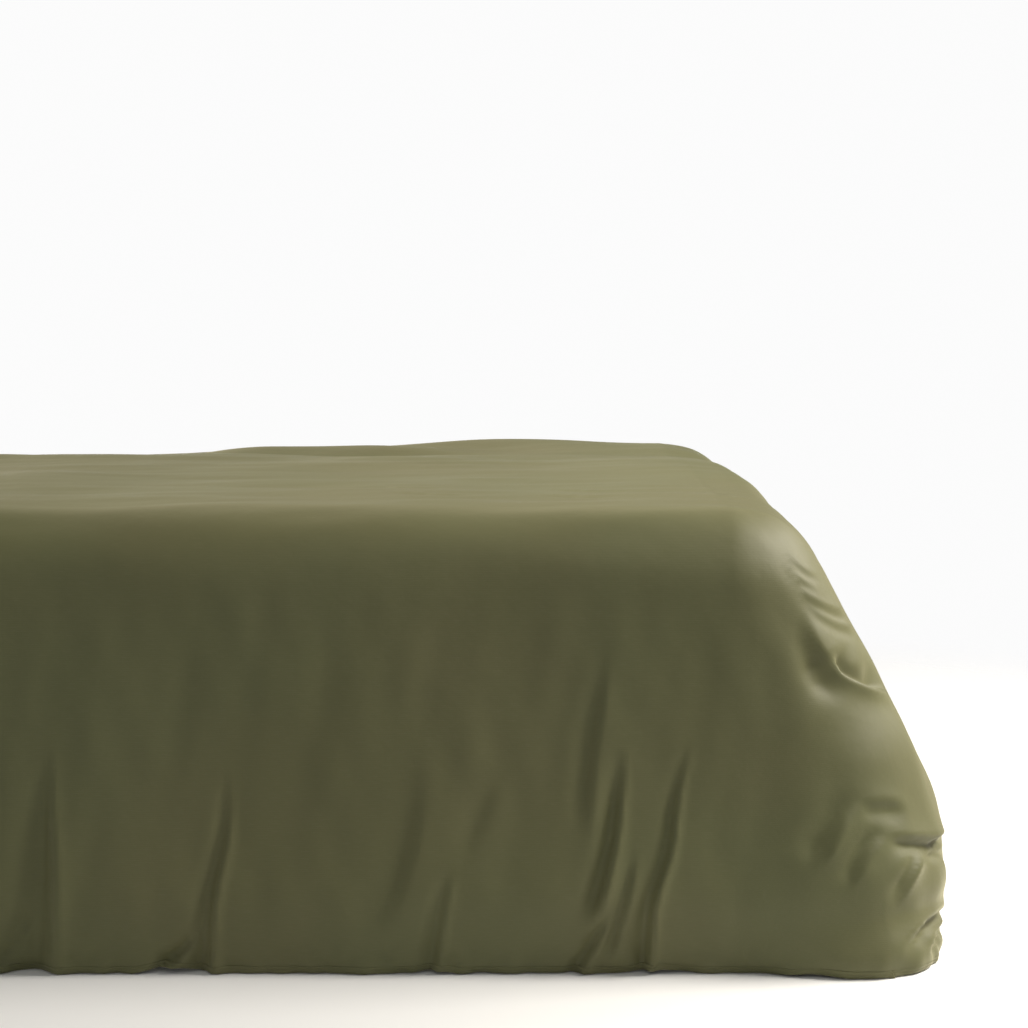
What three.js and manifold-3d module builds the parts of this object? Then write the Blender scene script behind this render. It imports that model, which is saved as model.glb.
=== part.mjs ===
// A filled king-size duvet in its zipped cover, lying as it does on a made bed: flat on top, its two
// sides and its foot end hanging to the floor. The bed itself is not part of it, so the underside is
// hollow. +X points to the foot end, +Z up, and the origin is on the floor under the middle. Left
// and right are as seen from the foot end, so left is -Y.
import * as THREE from "three";
import Module from "manifold-3d";
import { mergeVertices } from "three/addons/utils/BufferGeometryUtils.js";

const wasm = await Module();
wasm.setup();

// Driving dimensions, in millimetres and degrees.
const FLAT_LENGTH = 2290; // the cover laid flat, head edge to foot edge
const FLAT_WIDTH = 2640;
const TOP = 550; // height of the face panel above the floor
const LOFT = 46; // thickness of the whole duvet
const EDGE_LOFT = 10; // thickness at the sewn edge
const TAPER = 110; // width of the band that thins towards the edge
const HEAD_SHARE = 1; // share of the thinning taken from the face side, along the head edge
const HANG_SHARE = 0.3; // and along the three hanging edges
const CLOTH = 1; // thickness of a cover panel
const SHELL = 0.8; // thickness of the insert's own fabric
const FACE_SLACK = 1; // free space between the cover and the insert, on the face side
const UNDER_SLACK = 3.6; // and on the under side, where the zip tapes lie
const FILL_GAP = 0.6; // between the insert's fabric and its filling
const GAP = 0.5; // between pieces that are sewn edge to edge

const BINDING = 9.5; // width of the bound seam round the cover
const PANEL_INSET = BINDING + GAP; // a panel starts this far from the edge
const INSERT_INSET = 40; // the insert is this much smaller than the cover, all round
const PIPING = 7.5; // width of the piped edge round the insert

const RINGS = [168, 126, 84, INSERT_INSET, PANEL_INSET, 0]; // the lower rings, up from the hem

const BOX = { across: FLAT_WIDTH / 10, along: FLAT_LENGTH / 8 }; // one quilted box of the insert
const GROUP = 2; // boxes per fill node, both ways

// A drop is the part that hangs: a shoulder arc, a straight slope, a kick arc and a vertical hem.
const sideDrop = dropProfile({ shoulder: 110, slope: 80, kick: 150, hem: 60 });
const footDrop = dropProfile({ shoulder: 110, slope: 62, kick: 180, hem: 135 });

const EDGE_ALONG = FLAT_LENGTH - footDrop.length; // where the foot drop starts, from the head edge
const EDGE_ACROSS = FLAT_WIDTH / 2 - sideDrop.length; // where a side drop starts, from the middle
const HEAD_X = -(EDGE_ALONG + footDrop.reach) / 2;
const EDGE_X = HEAD_X + EDGE_ALONG;

function dropProfile({ shoulder, slope, kick, hem }) {
  const lean = THREE.MathUtils.degToRad(slope);
  const rest = Math.PI / 2 - lean;
  const fall = TOP - shoulder * (1 - Math.cos(lean)) - kick * Math.cos(lean) - hem;
  const straight = fall / Math.sin(lean);
  const ends = [shoulder * lean];
  ends.push(ends[0] + straight);
  ends.push(ends[1] + kick * rest);
  ends.push(ends[2] + hem);
  // The place r past the edge line: how far out and down it is, and how steep.
  function at(r) {
    if (r <= 0) return { out: r, down: 0, tilt: 0 };
    if (r <= ends[0]) {
      const tilt = r / shoulder;
      return { out: shoulder * Math.sin(tilt), down: shoulder * (1 - Math.cos(tilt)), tilt };
    }
    if (r <= ends[1]) {
      const s = r - ends[0];
      const start = at(ends[0]);
      return { out: start.out + s * Math.cos(lean), down: start.down + s * Math.sin(lean), tilt: lean };
    }
    if (r <= ends[2]) {
      const tilt = lean + (r - ends[1]) / kick;
      const start = at(ends[1]);
      return {
        out: start.out + kick * (Math.sin(tilt) - Math.sin(lean)),
        down: start.down + kick * (Math.cos(lean) - Math.cos(tilt)),
        tilt,
      };
    }
    const start = at(ends[2]);
    return { out: start.out, down: start.down + r - ends[2], tilt: Math.PI / 2 };
  }
  // Where the rings of facets run round the drop: the same number on every drop.
  const upper = [0, ends[0] / 2, ends[0], (ends[0] + ends[3] - RINGS[0]) / 2];
  const rings = [...upper, ...RINGS.map((d) => ends[3] - d)];
  return { at, rings, length: ends[3], reach: at(ends[3]).out };
}

// A ring of the side drop meets the same ring of the foot drop at the bed's corner. The share counts
// them from 0 at the edge lines to 1 at the hem, and place finds a share on a drop again.
const ringShares = sideDrop.rings.map((r, k) => (r / sideDrop.length + footDrop.rings[k] / footDrop.length) / 2);

function interpolate(value, from, to) {
  const k = from.findIndex((f, i) => i > 0 && (f >= value || i === from.length - 1));
  const t = (value - from[k - 1]) / (from[k] - from[k - 1]);
  return to[k - 1] + t * (to[k] - to[k - 1]);
}

const shareOf = (drop, r) => interpolate(r, drop.rings, ringShares);
const placeAt = (drop, share) => drop.at(interpolate(share, ringShares, drop.rings));

// The duvet's surface. A place on it is (a, b): a along the flat cover from the head edge, b across
// it from the middle. Past both edge lines the cloth turns round the bed's corner.
function facePoint(a, b) {
  const side = Math.sign(b) || 1;
  const u = a - EDGE_ALONG;
  const v = Math.abs(b) - EDGE_ACROSS;
  let turn = u > 0 ? Math.PI / 2 : 0; // 0 faces the side, a quarter turn faces the foot
  let place = u > 0 ? footDrop.at(u) : sideDrop.at(v);
  if (u > 0 && v > 0) {
    const foot = shareOf(footDrop, u);
    const flank = shareOf(sideDrop, v);
    const share = Math.max(foot, flank);
    turn = flank >= foot ? (Math.PI / 4) * (foot / flank) : Math.PI / 2 - (Math.PI / 4) * (flank / foot);
    const w = THREE.MathUtils.smoothstep(turn / (Math.PI / 2), 0, 1);
    const p = placeAt(sideDrop, share);
    const q = placeAt(footDrop, share);
    place = {
      out: p.out + w * (q.out - p.out),
      down: p.down + w * (q.down - p.down),
      tilt: p.tilt + w * (q.tilt - p.tilt),
    };
  }
  const outX = Math.sin(turn);
  const outY = side * Math.cos(turn);
  const point = new THREE.Vector3(
    u > 0 ? EDGE_X + place.out * outX : HEAD_X + a,
    v > 0 ? side * EDGE_ACROSS + place.out * outY : b,
    TOP - place.down,
  );
  const normal = new THREE.Vector3(Math.sin(place.tilt) * outX, Math.sin(place.tilt) * outY, Math.cos(place.tilt));
  if (u <= 0) {
    point.y = side * (EDGE_ACROSS + place.out);
    normal.set(0, side * Math.sin(place.tilt), Math.cos(place.tilt));
  }
  return { point, normal };
}

// How deep the face and the underside lie below the full-loft surface.
function depths(a, b) {
  const thick = LOFT - EDGE_LOFT;
  const head = THREE.MathUtils.smoothstep(a, 0, TAPER);
  const hang = THREE.MathUtils.smoothstep(Math.min(FLAT_LENGTH - a, FLAT_WIDTH / 2 - Math.abs(b)), 0, TAPER);
  const face = thick * (HANG_SHARE * (1 - hang) + HEAD_SHARE * hang * (1 - head));
  return { face, under: face + EDGE_LOFT + thick * head * hang };
}

function quiltPoint(a, b, depth) {
  const { point, normal } = facePoint(a, b);
  return point.addScaledVector(normal, -depth);
}

// The place halfway between the face and the underside.
function middlePoint(a, b) {
  const { face, under } = depths(a, b);
  return quiltPoint(a, b, (face + under) / 2);
}

// Depths measured from the face, or from the underside.
const fromFace = (d) => (a, b) => depths(a, b).face + d;
const fromUnder = (d) => (a, b) => depths(a, b).under - d;

// Every layer has its corners at the same places, so that flat facets never cross.
const ZIP_RINGS = [2, 3]; // the zip lies flat between these two of the lower rings
const ZIP_FACET = ZIP_RINGS.map((k) => FLAT_LENGTH - RINGS[k]);
const acrossHalf = [BOX.across, 3 * BOX.across, ...sideDrop.rings.map((r) => EDGE_ACROSS + r)];
acrossHalf.sort((p, q) => p - q);
const ACROSS = [...acrossHalf.map((b) => -b).reverse(), ...acrossHalf];
const ALONG = [PANEL_INSET, INSERT_INSET, TAPER, 2 * BOX.along, 4 * BOX.along, 6 * BOX.along];
ALONG.push(...footDrop.rings.map((r) => EDGE_ALONG + r));
ALONG.sort((p, q) => p - q);

const stops = (all, low, high) => [low, ...all.filter((s) => s > low && s < high), high];

// A closed solid over a rectangle of the flat cover, between two depths.
function layer({ along, across, top, bottom }) {
  const as = stops(ALONG, ...along);
  const bs = stops(ACROSS, ...across);
  const [m, n] = [as.length, bs.length];
  const position = [];
  for (const depth of [top, bottom])
    for (const a of as) for (const b of bs) position.push(...quiltPoint(a, b, depth(a, b)).toArray());
  const index = [];
  const quad = (p, q, r, s) => index.push(p, q, r, p, r, s);
  // The diagonals of the facets run out to the corners of the bed, on both sides.
  const facet = (p, q, r, s, left) => (left ? quad(q, r, s, p) : quad(p, q, r, s));
  const under = m * n;
  for (let i = 0; i + 1 < m; i++)
    for (let j = 0; j + 1 < n; j++) {
      const [p, q, r, s] = [i * n + j, (i + 1) * n + j, (i + 1) * n + j + 1, i * n + j + 1];
      const left = bs[j] + bs[j + 1] < 0;
      facet(p, q, r, s, left);
      facet(under + p, under + s, under + r, under + q, left);
    }
  for (let i = 0; i + 1 < m; i++) {
    const [p, q] = [i * n, (i + 1) * n];
    quad(p, under + p, under + q, q);
    quad(p + n - 1, q + n - 1, under + q + n - 1, under + p + n - 1);
  }
  for (let j = 0; j + 1 < n; j++) {
    const p = j;
    const q = (m - 1) * n + j;
    quad(p, p + 1, under + p + 1, under + p);
    quad(q, under + q, under + q + 1, q + 1);
  }
  const geometry = new THREE.BufferGeometry();
  geometry.setAttribute("position", new THREE.Float32BufferAttribute(position, 3));
  geometry.setIndex(index);
  return geometry;
}

function solidOf(geometry, matrix = new THREE.Matrix4()) {
  const bare = new THREE.BufferGeometry();
  bare.setAttribute("position", geometry.getAttribute("position").clone());
  if (geometry.index) bare.setIndex(geometry.index.clone());
  bare.applyMatrix4(matrix);
  const merged = mergeVertices(bare, 1e-4);
  const mesh = new wasm.Mesh({
    numProp: 3,
    vertProperties: new Float32Array(merged.getAttribute("position").array),
    triVerts: new Uint32Array(merged.index.array),
  });
  return new wasm.Manifold(mesh);
}

function geometryOf(solid) {
  const mesh = solid.getMesh();
  const geometry = new THREE.BufferGeometry();
  geometry.setAttribute("position", new THREE.BufferAttribute(new Float32Array(mesh.vertProperties), 3));
  geometry.setIndex(new THREE.BufferAttribute(new Uint32Array(mesh.triVerts), 1));
  return geometry;
}

const shift = (x, y, z) => new THREE.Matrix4().makeTranslation(x, y, z);
const block = (x, y, z, sx, sy, sz) => solidOf(new THREE.BoxGeometry(sx, sy, sz), shift(x, y, z));

const olive = { color: 0x56543a, roughness: 0.55, metalness: 0 };
const clothMaterial = new THREE.MeshStandardMaterial(olive);
const shellMaterial = new THREE.MeshStandardMaterial({ color: 0xe9e7df, roughness: 0.7, metalness: 0 });
const fillMaterial = new THREE.MeshStandardMaterial({ color: 0xf4f2ec, roughness: 0.95, metalness: 0 });
const tapeMaterial = new THREE.MeshStandardMaterial({ color: 0x4c4a33, roughness: 0.8, metalness: 0 });
const coilMaterial = new THREE.MeshStandardMaterial({ color: 0x45432e, roughness: 0.35, metalness: 0 });
const metalMaterial = new THREE.MeshStandardMaterial({ color: 0x8d8468, roughness: 0.35, metalness: 0.9 });
const labelMaterial = new THREE.MeshStandardMaterial({ color: 0xf1efe8, roughness: 0.45, metalness: 0 });

const duvet = new THREE.Group();

function add(name, geometry, material, parent = duvet) {
  const mesh = new THREE.Mesh(geometry, material);
  mesh.name = name;
  parent.add(mesh);
  return mesh;
}

// The zip lies flat in the underside, in a frame of its own: x points into the hollow, y across the
// bed to the left and z up along the cloth, with the origin on the underside, in the zip's middle.
const ZIP = {
  length: 1200,
  slot: 8, // the opening between the panel and the facing, where the coils show
  tape: 13, // width of one tape
  tapeThick: 1,
  coil: 2.4, // width of one row of coil
  coilThick: 2,
  split: 1.2, // between the two rows
};

function zipFrame() {
  const middle = (ZIP_FACET[0] + ZIP_FACET[1]) / 2;
  const ends = ZIP_FACET.map((a) => quiltPoint(a, 0, depths(a, 0).under));
  const up = ends[0].clone().sub(ends[1]).normalize();
  const across = new THREE.Vector3(0, -1, 0);
  const inward = across.clone().cross(up);
  const matrix = new THREE.Matrix4().makeBasis(inward, across, up);
  matrix.setPosition(ends[0].clone().add(ends[1]).multiplyScalar(0.5));
  return { middle, matrix };
}

const zipPlace = zipFrame();
const zip = new THREE.Group();
zip.applyMatrix4(zipPlace.matrix);
duvet.add(zip);

// Cover panels. The face is one piece; the underside is a panel and a facing, joined by the zip.
function coverPanels() {
  const across = [-FLAT_WIDTH / 2 + PANEL_INSET, FLAT_WIDTH / 2 - PANEL_INSET];
  const whole = [PANEL_INSET, FLAT_LENGTH - PANEL_INSET];
  add("cover_face_panel", layer({ along: whole, across, top: fromFace(0), bottom: fromFace(CLOTH) }), clothMaterial);
  const slot = block(0, 0, 0, 12, ZIP.length + 4, ZIP.slot).transform(zipPlace.matrix.elements);
  const join = zipPlace.middle;
  const parts = {
    cover_under_panel: [whole[0], join - GAP / 2],
    cover_foot_facing: [join + GAP / 2, whole[1]],
  };
  for (const [name, along] of Object.entries(parts)) {
    const plain = layer({ along, across, top: fromUnder(CLOTH), bottom: fromUnder(0) });
    add(name, geometryOf(solidOf(plain).subtract(slot)), clothMaterial);
  }
}

// Four strips round the edge: the two long sides run full length, the ends fit between them.
function edgeStrips({ prefix, from, width, top, bottom, material }) {
  const [length, half] = [FLAT_LENGTH, FLAT_WIDTH / 2];
  const to = from + width;
  const between = [-half + to + GAP, half - to - GAP];
  const strips = {
    left: { along: [from, length - from], across: [-half + from, -half + to] },
    right: { along: [from, length - from], across: [half - to, half - from] },
    head: { along: [from, to], across: between },
    foot: { along: [length - to, length - from], across: between },
  };
  for (const [side, where] of Object.entries(strips))
    add(`${prefix}_${side}`, layer({ ...where, top, bottom }), material);
}

// The insert: two shells sewn through into boxes, and the filling that those boxes hold.
function insert() {
  const inset = INSERT_INSET;
  const across = [-FLAT_WIDTH / 2 + inset, FLAT_WIDTH / 2 - inset];
  const along = [inset, FLAT_LENGTH - inset];
  const face = CLOTH + FACE_SLACK;
  const under = CLOTH + UNDER_SLACK;
  const shells = {
    insert_face_shell: { top: fromFace(face), bottom: fromFace(face + SHELL) },
    insert_under_shell: { top: fromUnder(under + SHELL), bottom: fromUnder(under) },
  };
  for (const [name, range] of Object.entries(shells)) add(name, layer({ along, across, ...range }), shellMaterial);
  const top = fromFace(face + SHELL + FILL_GAP);
  const bottom = fromUnder(under + SHELL + FILL_GAP);
  const rows = [along[0], ...[1, 2, 3].map((i) => i * GROUP * BOX.along), along[1]];
  const columns = [across[0], ...[-3, -1, 1, 3].map((j) => j * BOX.across), across[1]];
  for (let i = 0; i < 4; i++)
    for (let j = 0; j < 5; j++) {
      const where = {
        along: [rows[i] + GAP / 2, rows[i + 1] - GAP / 2],
        across: [columns[j] + GAP / 2, columns[j + 1] - GAP / 2],
      };
      add(`fill_r${i + 1}_c${j + 1}`, layer({ ...where, top, bottom }), fillMaterial);
    }
}

// A tape loop on each corner of the insert, and a tied tape on each corner of the cover. Both lie in
// a frame of their own: x points from the cover's corner to the insert, z out of the face.
const LOOP = { long: 15, wide: 14, rim: 3, thick: 1, start: -5.5 };
const TIE = { long: 7.4, wide: 5.2, rim: 1, thick: 5 };

function tapeRing({ long, wide, rim, thick }) {
  const [hx, hy] = [long / 2, wide / 2];
  const outer = new THREE.Shape();
  outer.moveTo(-hx, -hy).lineTo(hx, -hy).lineTo(hx, hy).lineTo(-hx, hy);
  const hole = new THREE.Path();
  const [x, y] = [hx - rim, hy - rim];
  hole.moveTo(-x, -y).lineTo(-x, y).lineTo(x, y).lineTo(x, -y);
  outer.holes.push(hole);
  return new THREE.ExtrudeGeometry(outer, { depth: thick, bevelEnabled: false }).translate(0, 0, -thick / 2);
}

function tiedTape() {
  const ring = solidOf(tapeRing(TIE), new THREE.Matrix4().makeRotationX(Math.PI / 2));
  const knot = block(-4.2, 0, 0, 2.4, 6, 4.4);
  const tails = [-1, 1].map((s) => block(-4, s * 4.5, 0, 3, 5, 1));
  return geometryOf(tails.reduce((whole, tail) => whole.add(tail), ring.add(knot)));
}

function cornerTies() {
  const half = FLAT_WIDTH / 2;
  const corners = {
    head_left: [24, -half + 24, 1],
    head_right: [24, half - 24, 1],
    foot_left: [FLAT_LENGTH - 22, -half + 21, -1],
    foot_right: [FLAT_LENGTH - 22, half - 21, -1],
  };
  const reach = 5; // how far apart the surface is sampled
  for (const [corner, [a, b, inA]] of Object.entries(corners)) {
    const inB = -Math.sign(b);
    const near = (s, t) => middlePoint(a + s * inA * reach, b + t * inB * reach);
    const x = near(1, 1).sub(near(-1, -1)).normalize();
    const over = near(1, -1).sub(near(-1, 1));
    const normal = x.clone().cross(over).multiplyScalar(-inA * inB).normalize();
    const y = normal.clone().cross(x);
    const frame = new THREE.Group();
    frame.applyMatrix4(new THREE.Matrix4().makeBasis(x, y, normal).setPosition(middlePoint(a, b)));
    duvet.add(frame);
    const loop = add(`insert_loop_${corner}`, tapeRing(LOOP), tapeMaterial, frame);
    loop.position.x = LOOP.start + LOOP.long / 2;
    // The tied tape goes round the loop's bar that is nearer the cover's seam.
    add(`cover_tie_${corner}`, tiedTape(), tapeMaterial, frame).position.x = LOOP.start + LOOP.rim / 2;
  }
}

// Zip: two tapes behind the slot, a row of coil on each, stops at the ends, the slider and its pull.
function zipChain() {
  const back = -(CLOTH + GAP + ZIP.tapeThick / 2); // middle of the tapes' thickness
  const rowZ = ZIP.split / 2 + ZIP.coil / 2;
  const rowX = back + ZIP.tapeThick / 2 + 0.3 + ZIP.coilThick / 2;
  for (const [name, s] of Object.entries({ upper: 1, lower: -1 })) {
    const tape = new THREE.BoxGeometry(ZIP.tapeThick, ZIP.length + 24, ZIP.tape);
    add(`zip_tape_${name}`, tape, tapeMaterial, zip).position.set(back, 0, s * (ZIP.split / 2 + ZIP.tape / 2));
    const coil = new THREE.BoxGeometry(ZIP.coilThick, ZIP.length - 20, ZIP.coil);
    add(`zip_coil_${name}`, coil, coilMaterial, zip).position.set(rowX, 0, s * rowZ);
    const stop = new THREE.BoxGeometry(ZIP.coilThick + 0.4, 4, ZIP.coil);
    add(`zip_top_stop_${name}`, stop, metalMaterial, zip).position.set(rowX + 0.2, ZIP.length / 2 - 7.7, s * rowZ);
  }
  const bottomStop = new THREE.BoxGeometry(ZIP.coilThick + 0.4, 4, 2 * ZIP.coil + ZIP.split);
  add("zip_bottom_stop", bottomStop, metalMaterial, zip).position.set(rowX + 0.2, -ZIP.length / 2 + 7.7, 0);
  return { back, rowX };
}

const SLIDER = { long: 11, wide: 7.4, plate: 1, inset: 15.7 }; // inset: from the zip's end to its middle
const PULL = { long: 30, wide: 8, thick: 1.4, eye: 5, bar: 0.8 };

function zipSlider({ back, rowX }) {
  const clear = 0.3;
  const behind = back - ZIP.tapeThick / 2 - clear - SLIDER.plate / 2;
  const front = rowX + ZIP.coilThick / 2 + clear + SLIDER.plate / 2;
  const backPlate = block(behind, 0, 0, SLIDER.plate, SLIDER.long, SLIDER.wide);
  const frontPlate = block(front, 0, 0, SLIDER.plate, SLIDER.long, SLIDER.wide);
  const bridge = block((behind + front) / 2, 2.5, 0, front - behind, 4, ZIP.split - 2 * clear);
  // The arch that holds the pull: two posts and a beam over them.
  const posts = [-1, 1].map((s) => block(front + 1.9, s * 2.6, 0, 3.2, 1.2, 2.4));
  const beam = block(front + 3.8, 0, 0, 0.9, 6.4, 2.4);
  const body = [frontPlate, bridge, ...posts, beam].reduce((whole, piece) => whole.add(piece), backPlate);
  const slider = new THREE.Group();
  slider.position.y = ZIP.length / 2 - SLIDER.inset;
  zip.add(slider);
  add("zip_slider", geometryOf(body), metalMaterial, slider);
  zipPull(slider, front + SLIDER.plate / 2 + 1.4);
}

// The pull's bar passes through the arch, and its tab lies along the zip at rest.
function zipPull(slider, barX) {
  const bar = new THREE.CylinderGeometry(PULL.bar, PULL.bar, PULL.wide - 0.6, 12);
  const barSolid = solidOf(bar, new THREE.Matrix4().makeRotationX(Math.PI / 2));
  const legs = [-1, 1].map((s) => block(0, -PULL.eye / 2, s * (PULL.wide / 2 - 1), PULL.thick, PULL.eye + 1.6, 2));
  const tab = block(0, -(PULL.eye + PULL.long) / 2, 0, PULL.thick, PULL.long - PULL.eye, PULL.wide);
  const hole = new THREE.CylinderGeometry(1.6, 1.6, 4, 16);
  const holeAt = shift(0, 4 - PULL.long, 0).multiply(new THREE.Matrix4().makeRotationZ(Math.PI / 2));
  const whole = [...legs, tab].reduce((sum, piece) => sum.add(piece), barSolid).subtract(solidOf(hole, holeAt));
  add("zip_pull", geometryOf(whole), metalMaterial, slider).position.set(barX, 0, 0);
}

function careLabel() {
  const where = { along: [150, 190], across: [-1205, -1145] };
  const lift = 0.4;
  add("care_label", layer({ ...where, top: fromUnder(-lift), bottom: fromUnder(-lift - 0.6) }), labelMaterial);
}

coverPanels();
edgeStrips({
  prefix: "edge_binding",
  from: 0,
  width: BINDING,
  top: fromFace(0),
  bottom: fromUnder(0),
  material: clothMaterial,
});
insert();
edgeStrips({
  prefix: "insert_piping",
  from: INSERT_INSET - GAP - PIPING,
  width: PIPING,
  top: fromFace(3.5),
  bottom: fromUnder(5),
  material: shellMaterial,
});
cornerTies();
zipSlider(zipChain());
careLabel();

export default duvet;
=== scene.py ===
"""A filled duvet in its olive sateen cover, lying over a bed that isn't there.

Metres, +X to the foot end, +Z up, left (-Y) and right as seen from the foot end. A place on the
cloth is (a, b): a along the flat cover from the head edge, b across it from the middle.
"""
import math

import bmesh
import bpy
import numpy as np
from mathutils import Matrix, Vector


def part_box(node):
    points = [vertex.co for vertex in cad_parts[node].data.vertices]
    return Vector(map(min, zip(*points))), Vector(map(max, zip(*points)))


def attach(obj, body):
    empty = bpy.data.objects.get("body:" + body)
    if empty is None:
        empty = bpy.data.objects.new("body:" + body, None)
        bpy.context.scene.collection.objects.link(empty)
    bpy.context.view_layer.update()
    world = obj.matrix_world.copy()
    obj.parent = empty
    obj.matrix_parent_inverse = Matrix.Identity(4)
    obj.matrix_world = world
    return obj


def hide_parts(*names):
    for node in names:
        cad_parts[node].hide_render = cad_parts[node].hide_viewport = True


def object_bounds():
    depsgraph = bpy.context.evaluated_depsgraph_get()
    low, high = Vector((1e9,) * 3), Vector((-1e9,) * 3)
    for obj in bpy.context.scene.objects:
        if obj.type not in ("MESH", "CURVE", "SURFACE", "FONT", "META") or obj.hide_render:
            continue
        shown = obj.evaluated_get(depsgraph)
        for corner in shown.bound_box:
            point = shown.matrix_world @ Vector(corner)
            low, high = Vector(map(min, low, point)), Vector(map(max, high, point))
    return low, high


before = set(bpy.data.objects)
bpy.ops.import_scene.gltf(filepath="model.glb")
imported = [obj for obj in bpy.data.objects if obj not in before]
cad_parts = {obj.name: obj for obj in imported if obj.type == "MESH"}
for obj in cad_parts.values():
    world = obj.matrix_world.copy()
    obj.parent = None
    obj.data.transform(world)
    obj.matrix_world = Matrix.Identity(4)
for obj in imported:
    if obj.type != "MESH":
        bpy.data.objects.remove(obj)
CAD_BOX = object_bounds()

# ---- the duvet's own sizes
FLAT_LENGTH = 2.290
FLAT_WIDTH = 2.640
TOP = 0.550
LOFT = 0.046
EDGE_LOFT = 0.010
TAPER = 0.110  # the band along an edge in which the loft runs out
HANG_SHARE = 0.3  # the part of that which the face side takes, on the hanging edges
BINDING = 0.0095  # the seam's own width
PANEL_INSET = 0.010
INSERT_INSET = 0.040
PIPING = 0.0075
BOX_ACROSS = FLAT_WIDTH / 10
BOX_ALONG = FLAT_LENGTH / 8
ZIP_RINGS = (FLAT_LENGTH - 0.084, FLAT_LENGTH - 0.040)
ZIP_LENGTH = 1.200
COVER_CLOTH, INSERT_CLOTH, TAPE_CLOTH, LABEL_CLOTH = 0.0008, 0.0005, 0.0006, 0.0003


def smoothstep(x, low=0.0, high=1.0):
    t = np.clip((np.asarray(x, float) - low) / (high - low), 0, 1)
    return t * t * (3 - 2 * t)


def bell(x, width):
    return np.exp(-((x / width) ** 2))


def unit(v):
    return v / np.linalg.norm(v, axis=-1, keepdims=True)


def run_along(line):
    """How far each point of a line is from its start."""
    return np.concatenate([[0], np.cumsum(np.linalg.norm(np.diff(line, axis=0), axis=1))])


class Drop:
    """The part that hangs: a shoulder arc, a straight slope, a kick arc and a vertical hem."""

    def __init__(self, shoulder, slope, kick, hem, soften):
        lean = math.radians(slope)
        fall = TOP - shoulder * (1 - math.cos(lean)) - kick * math.cos(lean) - hem
        ends = np.cumsum([shoulder * lean, fall / math.sin(lean), kick * (math.pi / 2 - lean), hem])
        self.length = float(ends[-1])
        self.r = np.linspace(0, self.length, 1301)
        tilt = np.interp(self.r, [0, *ends], [0, lean, lean, math.pi / 2, math.pi / 2])
        # Real cloth has no corner where an arc ends, so the tilt changes gradually.
        width = max(3, int(soften / self.length * len(self.r)) | 1)
        reach = np.concatenate([np.zeros(width), tilt, np.full(width, math.pi / 2)])
        self.tilts = np.convolve(reach, np.ones(width) / width, "same")[width:-width]
        step = self.r[1]
        down = np.concatenate([[0], np.cumsum(np.sin(self.tilts[:-1]) * step)])
        self.down = down * TOP / down[-1]
        self.out = np.concatenate([[0], np.cumsum(np.cos(self.tilts[:-1]) * step)])

    def at(self, r):
        return [np.interp(r, self.r, values) for values in (self.out, self.down, self.tilts)]


SIDE = Drop(0.110, 80, 0.150, 0.060, soften=0.050)
FOOT = Drop(0.110, 62, 0.180, 0.135, soften=0.090)
EDGE_ALONG = FLAT_LENGTH - FOOT.length
EDGE_ACROSS = FLAT_WIDTH / 2 - SIDE.length
HEAD_X = CAD_BOX[0][0]


def lie(a, b):
    """Where (a, b) lies at full loft, which way it faces, and how far round the corner it is."""
    u = np.clip(a - EDGE_ALONG, 0, None)
    v = np.clip(np.abs(b) - EDGE_ACROSS, 0, None)
    side = np.where(b < 0, -1.0, 1.0)
    foot, flank = u / FOOT.length, v / SIDE.length
    share = np.maximum(foot, flank)
    safe = np.where(share > 0, share, 1)
    turn = np.where(flank >= foot, foot / safe, 2 - flank / safe) * (math.pi / 4) * (share > 0)
    w = smoothstep(turn / (math.pi / 2))
    out, down, tilt = [
        p + w * (q - p) for p, q in zip(SIDE.at(share * SIDE.length), FOOT.at(share * FOOT.length))
    ]
    place = np.stack(
        [
            HEAD_X + np.minimum(a, EDGE_ALONG) + out * np.sin(turn),
            side * (np.minimum(np.abs(b), EDGE_ACROSS) + out * np.cos(turn)),
            TOP - down,
        ],
        -1,
    )
    facing = np.stack(
        [np.sin(tilt) * np.sin(turn), side * np.sin(tilt) * np.cos(turn), np.cos(tilt)], -1
    )
    return place, facing, turn, share


def depths(a, b):
    """How deep the face and the underside lie below the full-loft surface."""
    thick = LOFT - EDGE_LOFT
    head = smoothstep(a, 0, TAPER)
    hang = smoothstep(np.minimum(FLAT_LENGTH - a, FLAT_WIDTH / 2 - np.abs(b)), 0, TAPER)
    face = thick * (HANG_SHARE * (1 - hang) + hang * (1 - head))
    return face, face + EDGE_LOFT + thick * head * hang


# ---- how the cloth creases
class Waves:
    """Smooth noise: a sum of sine waves of random direction, from one seed."""

    def __init__(self, seed, longest, shortest, count=28, stretch=(1, 1, 1)):
        rng = np.random.default_rng(seed)
        way = unit(rng.normal(size=(count, 3)))
        length = longest * (shortest / longest) ** rng.random(count)
        self.k = way * (2 * math.pi / length)[:, None] / np.array(stretch)
        self.phase = rng.random(count) * 2 * math.pi
        self.weight = (length / longest) ** 0.8
        self.weight /= math.sqrt((self.weight**2).sum() / 2)

    def __call__(self, place):
        return sum(
            w * np.sin(place @ k + p) for w, k, p in zip(self.weight, self.k, self.phase)
        )


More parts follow.
